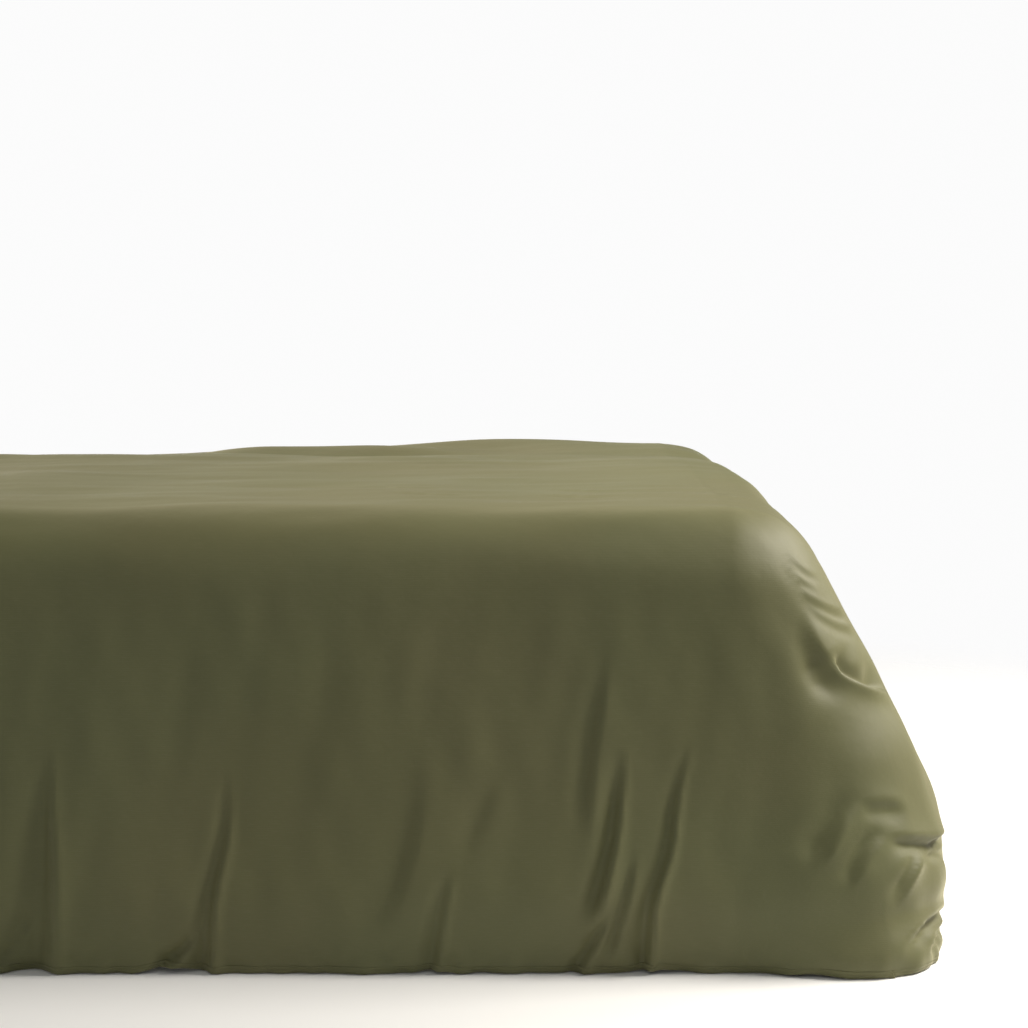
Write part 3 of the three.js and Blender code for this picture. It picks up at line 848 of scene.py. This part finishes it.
def edge_run(which, inset, low_high):
    """Places round one edge of the cover: along its run, and in from it."""
    low, high = low_high
    run = stops(low, high, [(9, 0.008)])
    if which in ("left", "right"):
        side = -1 if which == "left" else 1
        return run, lambda e: (run, np.full(run.shape, side * (FLAT_WIDTH / 2 - inset - e)))
    at = 0.0 if which == "head" else FLAT_LENGTH
    sign = 1 if which == "head" else -1
    return run, lambda e: (np.full(run.shape, at + sign * (inset + e)), run)


def seams():
    half = FLAT_WIDTH / 2 - BINDING - 0.0005
    gather = Waves(41, 0.030, 0.012, count=24)
    pieces = []
    for which in ("left", "right", "head", "foot"):
        span = (0, FLAT_LENGTH) if which in ("left", "right") else (-half, half)
        run, where = edge_run(which, 0.0, span)
        rings, uvs = [], []
        for e, t in SEAM_SECTION:
            a, b = where(e)
            puff = 0.10 * gather(np.stack([a, b, 0 * a], -1)) * math.sin(math.pi * t)
            points = surface(a, b, fraction=t + puff * (0.5 - t))
            rings.append(points)
            uvs.append(np.stack([run, np.full(run.shape, e if t < 0.5 else -e)], -1))
        piece = loft(f"seam_{which}", np.swapaxes(rings, 0, 1), np.swapaxes(uvs, 0, 1), "sateen")
        stand_for(piece, "cover_fabric", f"edge_binding_{which}")
        pieces.append(piece)
    return pieces


def quilted(a, b):
    """How much the insert's sewing pulls it together at (a, b), from 0 to 1."""
    pull = 0 * a
    for i in range(1, 8):
        pull = np.maximum(pull, bell(a - i * BOX_ALONG, 0.020))
    for j in range(-4, 5):
        pull = np.maximum(pull, bell(b - j * BOX_ACROSS, 0.020))
    return pull


class Relief:
    """The creasing round about each place of the cover, which the insert keeps clear of."""

    def __init__(self, pitch=0.0075):
        self.pitch = pitch
        a, b = np.arange(0, FLAT_LENGTH, pitch), np.arange(0, FLAT_WIDTH, pitch) - FLAT_WIDTH / 2
        a, b = np.meshgrid(a, b, indexing="ij")
        out = creasing(a, b)
        self.deepest = self.spread(out, np.minimum)
        self.highest = self.spread(out * under_follows(a, b), np.maximum)

    @staticmethod
    def spread(values, pick, times=2):
        for _ in range(times):
            for axis in (0, 1):
                values = pick.reduce([values, np.roll(values, 1, axis), np.roll(values, -1, axis)])
        return values

    def at(self, values, a, b):
        """One of the two at (a, b), blended from the four places round it."""
        i = np.clip(a / self.pitch, 0, values.shape[0] - 1.001)
        j = np.clip((b + FLAT_WIDTH / 2) / self.pitch, 0, values.shape[1] - 1.001)
        m, n = i.astype(int), j.astype(int)
        i, j = i - m, j - n
        near = values[m, n] * (1 - i) + values[m + 1, n] * i
        return near * (1 - j) + (values[m, n + 1] * (1 - i) + values[m + 1, n + 1] * i) * j


RELIEF = Relief()


def insert_share(a, b, clear=0.0):
    """The insert's two sides as shares of the duvet's thickness, clear of them by so much."""
    top, bottom = walls(a, b)
    thick = np.linalg.norm(bottom - top, axis=-1)
    out = creasing(a, b)
    below_face = 0.0028 + np.clip(out - RELIEF.at(RELIEF.deepest, a, b), 0, None)
    above_under = 0.0046 + np.clip(
        RELIEF.at(RELIEF.highest, a, b) - out * under_follows(a, b), 0, None
    )
    low, high = np.minimum(below_face / thick, 0.50), np.maximum(1 - above_under / thick, 0.62)
    pull = quilted(a, b) * (0.5 * (high - low) - 0.0018 / thick)
    return low + pull + clear / thick, high - pull - clear / thick


def insert_shells():
    half = FLAT_WIDTH / 2 - INSERT_INSET
    along = along_stops(INSERT_INSET, FLAT_LENGTH - INSERT_INSET, 0.013, 0.017)
    across = across_stops(half, 0.013, 0.017)
    a, b, uvs = laid_out(along, across)
    pieces = []
    for k, name in enumerate(("insert_face", "insert_under")):
        points = surface(a, b, fraction=insert_share(a, b)[k]).reshape(-1, 3)
        faces = grid(len(along), len(across), flip=k == 1)
        piece = mesh_piece(name, points, faces, uvs, "percale")
        thicken(piece, INSERT_CLOTH)
        stand_for(piece, "insert_fabric", f"{name}_shell")
        pieces.append(piece)
    return pieces


def wadding_pads():
    """The filling, one pad for each two by two sewn boxes."""
    half = FLAT_WIDTH / 2 - INSERT_INSET
    rows = [INSERT_INSET, *[2 * i * BOX_ALONG for i in (1, 2, 3)], FLAT_LENGTH - INSERT_INSET]
    columns = [-half, *[j * BOX_ACROSS for j in (-3, -1, 1, 3)], half]
    tufts = Waves(53, 0.060, 0.020)
    n, gap = 29, 0.005  # stops across a pad, and the gap to the box's sewing
    for i in range(4):
        for j in range(5):
            a = np.linspace(rows[i] + gap, rows[i + 1] - gap, n)
            b = np.linspace(columns[j] + gap, columns[j + 1] - gap, n)
            a, b = np.meshgrid(a, b, indexing="ij")
            rim = np.minimum.reduce([a - a[0, 0], a[-1, 0] - a, b - b[0, 0], b[0, -1] - b])
            plump = np.sqrt(np.clip(1 - (1 - np.clip(rim / 0.020, 0, 1)) ** 2, 0, 1))
            low, high = insert_share(a, b, 0.0011)
            middle, reach = (low + high) / 2, (high - low) / 2 * (0.12 + 0.88 * plump)
            place, points = lie(a, b)[0], []
            for sign in (-1, 1):
                side = middle + sign * reach * (1 - 0.05 * (1 + tufts(place + sign)) * plump)
                points.append(surface(a, b, fraction=side).reshape(-1, 3))
            points = np.concatenate(points)
            faces = grid(n, n) + grid(n, n, n * n, flip=True)
            ring = [*range(n)] + [k * n + n - 1 for k in range(1, n)]
            ring += [(n - 1) * n + k for k in range(n - 2, -1, -1)]
            ring += [k * n for k in range(n - 2, 0, -1)]
            for p, q in zip(ring, ring[1:] + ring[:1]):
                faces.append((p, q, q + n * n, p + n * n))
            name = f"r{i + 1}_c{j + 1}"
            piece = mesh_piece(f"wadding_{name}", points, faces, None, "wadding")
            outwards(piece)
            stand_for(piece, "filling", f"fill_{name}")


def tube(name, line, radius, finish, sides):
    """A tube along a line of points, with its ends rounded off."""
    line = np.asarray(line, float)
    way = unit(np.gradient(line, axis=0))
    side = np.cross(way, [0.0, 0.0, 1.0])
    weak = np.linalg.norm(side, axis=1) < 0.3
    side[weak] = np.cross(way[weak], [0.0, 1.0, 0.0])
    side = unit(side)
    over = np.cross(side, way)
    angle = np.arange(sides) * 2 * math.pi / sides
    radius = np.broadcast_to(radius, len(line)).copy()
    radius[0] = radius[-1] = radius[0] * 0.45
    offsets = side[:, None] * np.cos(angle)[:, None] + over[:, None] * np.sin(angle)[:, None]
    rings = line[:, None] + offsets * radius[:, None, None]
    around = angle * radius.mean()
    uvs = np.stack(np.broadcast_arrays(run_along(line)[:, None], around[None]), -1)
    return loft(name, rings, uvs, finish)


def piping():
    inset = INSERT_INSET - 0.0005 - PIPING / 2
    half = FLAT_WIDTH / 2 - inset - PIPING / 2 - 0.0005
    for which in ("left", "right", "head", "foot"):
        span = (inset, FLAT_LENGTH - inset) if which in ("left", "right") else (-half, half)
        run, where = edge_run(which, inset, span)
        a, b = where(0.0)
        face, under = depths(a, b)
        thick = under - face
        line = surface(a, b, fraction=(0.0022 + (thick - 0.0068) / 2) / thick)
        piece = tube(f"piping_{which}", line, 0.0027, "percale", sides=10)
        stand_for(piece, "insert_fabric", f"insert_piping_{which}")


def corner_frame(a, b, in_a):
    """At a corner: x from the cover's corner to the insert, z out of the face."""
    reach = 0.005
    in_b = -math.copysign(1, b)

    def near(s, t):
        return surface(a + s * in_a * reach, b + t * in_b * reach, fraction=0.5)

    x = unit(near(1, 1) - near(-1, -1))
    z = unit(np.cross(x, near(1, -1) - near(-1, 1)) * (-in_a * in_b))
    return surface(a, b, fraction=0.5), x, np.cross(z, x), z


def flat_tape(name, line, out, wide, thick, finish):
    """A woven tape that follows a line, its broad side facing the way out says."""
    line, out = np.asarray(line, float), np.asarray(out, float)
    way = unit(np.gradient(line, axis=0))
    side = unit(np.cross(way, out))
    up = np.cross(side, way)
    section = [(-0.5, -0.3), (-0.42, -0.5), (0.42, -0.5), (0.5, -0.3),
               (0.5, 0.3), (0.42, 0.5), (-0.42, 0.5), (-0.5, 0.3)]
    rings = [line + side * (s * wide) + up * (t * thick) for s, t in section]
    lengths = run_along(line)
    uvs = [np.stack([lengths, np.full(len(line), s * wide)], -1) for s, _ in section]
    return loft(name, np.swapaxes(rings, 0, 1), np.swapaxes(uvs, 0, 1), finish)


def corner_ties():
    half = FLAT_WIDTH / 2
    corners = {
        "head_left": (0.024, -half + 0.024, 1),
        "head_right": (0.024, half - 0.024, 1),
        "foot_left": (FLAT_LENGTH - 0.022, -half + 0.021, -1),
        "foot_right": (FLAT_LENGTH - 0.022, half - 0.021, -1),
    }
    for corner, (a, b, in_a) in corners.items():
        origin, x, y, z = corner_frame(a, b, in_a)

        def at(points):
            return [origin + p * x + q * y + r * z for p, q, r in points]

        # The loop: a tape laid in a U, its two ends sewn into the insert's corner.
        bend = np.radians(range(90, 271, 20))
        line = [(0.009, 0.0045, 0), (0.003, 0.0048, 0.0003)]
        line += [(-0.0008 + 0.0046 * math.cos(t), 0.0046 * math.sin(t), 0.0004) for t in bend]
        line += [(0.003, -0.0048, 0.0003), (0.009, -0.0045, 0)]
        loop = flat_tape(f"loop_{corner}", at(line), [z] * len(line), 0.0026, 0.0009, "cotton_tape")
        stand_for(loop, "cotton_tape", f"insert_loop_{corner}")
        # The tie: once round the loop's bar, then a knot and two tails.
        turn = np.radians(range(-170, 171, 20))
        ring = [(-0.0043 + 0.0024 * math.cos(t), 0.0002 * t, 0.0021 * math.sin(t)) for t in turn]
        out = [x * math.cos(t) + z * math.sin(t) for t in turn]
        tail = [(-0.0078, 0.0022, 0.0008), (-0.0086, 0.0050, 0.0004), (-0.0088, 0.0078, 0.0)]
        start = [(p, -q, -r) for p, q, r in tail[::-1]]
        line = start + ring + tail
        ways = [z] * 3 + out + [z] * 3
        tie = flat_tape(f"tie_{corner}", at(line), ways, 0.0034, 0.0007, "cotton_tape")
        knot = tube("knot", at([(-0.0078, -0.0026, 0), (-0.0080, -0.001, 0.0003),
                                (-0.0080, 0.001, 0.0003), (-0.0078, 0.0026, 0)]),
                    0.0019, "cotton_tape", sides=10)
        join([tie, knot])
        stand_for(tie, "cotton_tape", f"cover_tie_{corner}")


def join(pieces):
    """Makes the first piece one with the rest."""
    bpy.ops.object.select_all(action="DESELECT")
    for piece in pieces:
        piece.select_set(True)
    bpy.context.view_layer.objects.active = pieces[0]
    bpy.ops.object.join()


# ---- the zip
def zip_frame():
    """The zip's own axes: x into the hollow, y across to the left, z up along the cloth."""
    low, high = [sum(np.array(corner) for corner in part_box(node)) / 2
                 for node in ("zip_tape_lower", "zip_tape_upper")]
    middle, up = (low + high) / 2, unit(high - low)
    across = np.array([0.0, -1.0, 0.0])
    inward = np.cross(across, up)
    return middle + inward * 0.002, inward, across, up


def zip_pieces():
    origin, x, y, z = zip_frame()

    def at(p):
        p = np.asarray(p, float)
        return origin + p[..., :1] * x + p[..., 1:2] * y + p[..., 2:3] * z

    ripple = Waves(61, 0.12, 0.04)
    for name, s in (("upper", 1), ("lower", -1)):
        run = np.linspace(-0.612, 0.612, 205)
        across = s * np.array([0.0006, 0.0016, 0.0034, 0.0060, 0.0090, 0.0118, 0.0136])
        r, c, uvs = laid_out(run, across)
        wave = 0.0002 * ripple(np.stack([r, c, 0 * r], -1))
        points = at(np.stack([-0.00165 + wave, r, c], -1)).reshape(-1, 3)
        faces = grid(len(run), len(across), flip=s > 0)
        tape_piece = mesh_piece(f"tape_{name}", points, faces, uvs, "zip_tape")
        thicken(tape_piece, TAPE_CLOTH)
        outwards(tape_piece)
        stand_for(tape_piece, "zip_tape", f"zip_tape_{name}")
        # The coil: one nylon thread in flattened turns, bulging where the rows meet.
        pitch, turns = 0.0017, 694
        t = np.arange(turns * 8) / 8
        angle = 2 * math.pi * t
        reach = 0.00085 * np.cos(angle) * -s + s * 0.0018
        lift = -0.0002 + 0.00070 * np.sin(angle)
        y_run = -0.590 + pitch * (t + 0.5 * (s > 0)) + 0.00025
        line = at(np.stack([lift, y_run, reach], -1))
        coil = tube(f"coil_{name}", line, 0.00030, "nylon", sides=5)
        stand_for(coil, "zip_coil", f"zip_coil_{name}")


def care_label():
    along = np.linspace(0.150, 0.190, 17)
    across = np.linspace(-1.205, -1.145, 25)
    a, b, uvs = laid_out(along, across)
    curl = 0.0016 * smoothstep(b, -1.185, -1.145) + 0.0006 * np.sin((a - 0.15) * 150)
    points = surface(a, b, from_under=-0.0012 - curl).reshape(-1, 3)
    piece = mesh_piece("label", points, grid(17, 25, flip=True), uvs, "label")
    thicken(piece, LABEL_CLOTH, offset=0)
    stand_for(piece, "label_fabric", "care_label")


face = face_panel()
under, facing_strip = under_panels()
seam_pieces = seams()
shells = insert_shells()
wadding_pads()
piping()
corner_ties()
zip_pieces()
care_label()

facing_size = (FLAT_WIDTH - 2 * PANEL_INSET, FLAT_LENGTH - PANEL_INSET - JOIN)

for node in ("zip_slider", "zip_pull", "zip_top_stop_upper", "zip_top_stop_lower",
             "zip_bottom_stop"):
    bpy.data.objects[node].data.materials[0] = MATERIALS["metal"]


# ---- floor, light and camera
ROOM_FRONT, ROOM_BEHIND = 0.43, 0.10


def studio():
    bpy.ops.mesh.primitive_circle_add(
        vertices=96, radius=2.6, fill_type="NGON", location=(0, 0, -0.0005)
    )
    floor = bpy.context.object
    floor.name = "floor"
    s = Shade("pale_floor")
    x, y, _ = s.xyz(s.place("Object"))
    rim = ((x * x + y * y) ** 0.5).ramp(1.3, 2.5)
    pale = (0.90, 0.90, 0.90)
    floor.data.materials.append(s.finish(base_color=pale, roughness=0.9, alpha=1 - rim))
    # A pale room, brighter in front of the bed than behind it, on a plain white ground.
    world = bpy.data.worlds.new("studio")
    world.use_nodes = True
    nodes, links = world.node_tree.nodes, world.node_tree.links
    where = nodes.new("ShaderNodeTexCoord")
    split = nodes.new("ShaderNodeSeparateXYZ")
    fade = nodes.new("ShaderNodeMapRange")
    fade.interpolation_type = "SMOOTHSTEP"
    for key, value in {1: -0.7, 2: 0.15, 3: ROOM_FRONT, 4: ROOM_BEHIND}.items():
        fade.inputs[key].default_value = value
    ray = nodes.new("ShaderNodeLightPath")
    seen = nodes.new("ShaderNodeMix")
    seen.inputs[3].default_value = 0.97
    links.new(where.outputs["Generated"], split.inputs[0])
    links.new(split.outputs[1], fade.inputs[0])
    links.new(ray.outputs["Is Camera Ray"], seen.inputs[0])
    links.new(fade.outputs[0], seen.inputs[2])
    links.new(seen.outputs[0], nodes["Background"].inputs[1])
    nodes["Background"].inputs[0].default_value = (1, 1, 1, 1)
    bpy.context.scene.world = world
    bpy.context.scene.view_settings.view_transform = "Standard"

    def light(name, at, towards, size, power, colour=(1, 1, 1)):
        data = bpy.data.lights.new(name, "AREA")
        data.shape, data.size, data.size_y = "RECTANGLE", *size
        data.energy, data.color = power, colour
        lamp = bpy.data.objects.new(name, data)
        lamp.location = at
        way = Vector(towards) - Vector(at)
        lamp.rotation_euler = way.to_track_quat("-Z", "Y").to_euler()
        bpy.context.scene.collection.objects.link(lamp)

    for name, at, power in (("window", (2.4, -0.6, 2.2), 114), ("far_window", (3.6, 1.2, 2.4), 70)):
        light(name, at, (0.6, -0.4, 0.35), (1.4, 1.0), power, (1, 0.95, 0.87))
    # Two low fills, level with the bed, for the sides that the windows don't reach.
    light("far_fill", (-0.4, 4.2, 0.42), (0, 0, 0.25), (3.2, 0.6), 50)
    light("head_fill", (-4.0, 0, 0.42), (0, 0, 0.25), (2.4, 0.6), 30)

    data = bpy.data.cameras.new("camera")
    data.sensor_width, data.lens = 36, 84.75
    camera = bpy.data.objects.new("camera", data)
    camera.location = (0.4250, -3.710, 0.802)
    camera.rotation_euler = (math.radians(90 - 5.0), 0, 0)
    bpy.context.scene.collection.objects.link(camera)
    bpy.context.scene.camera = camera


studio()
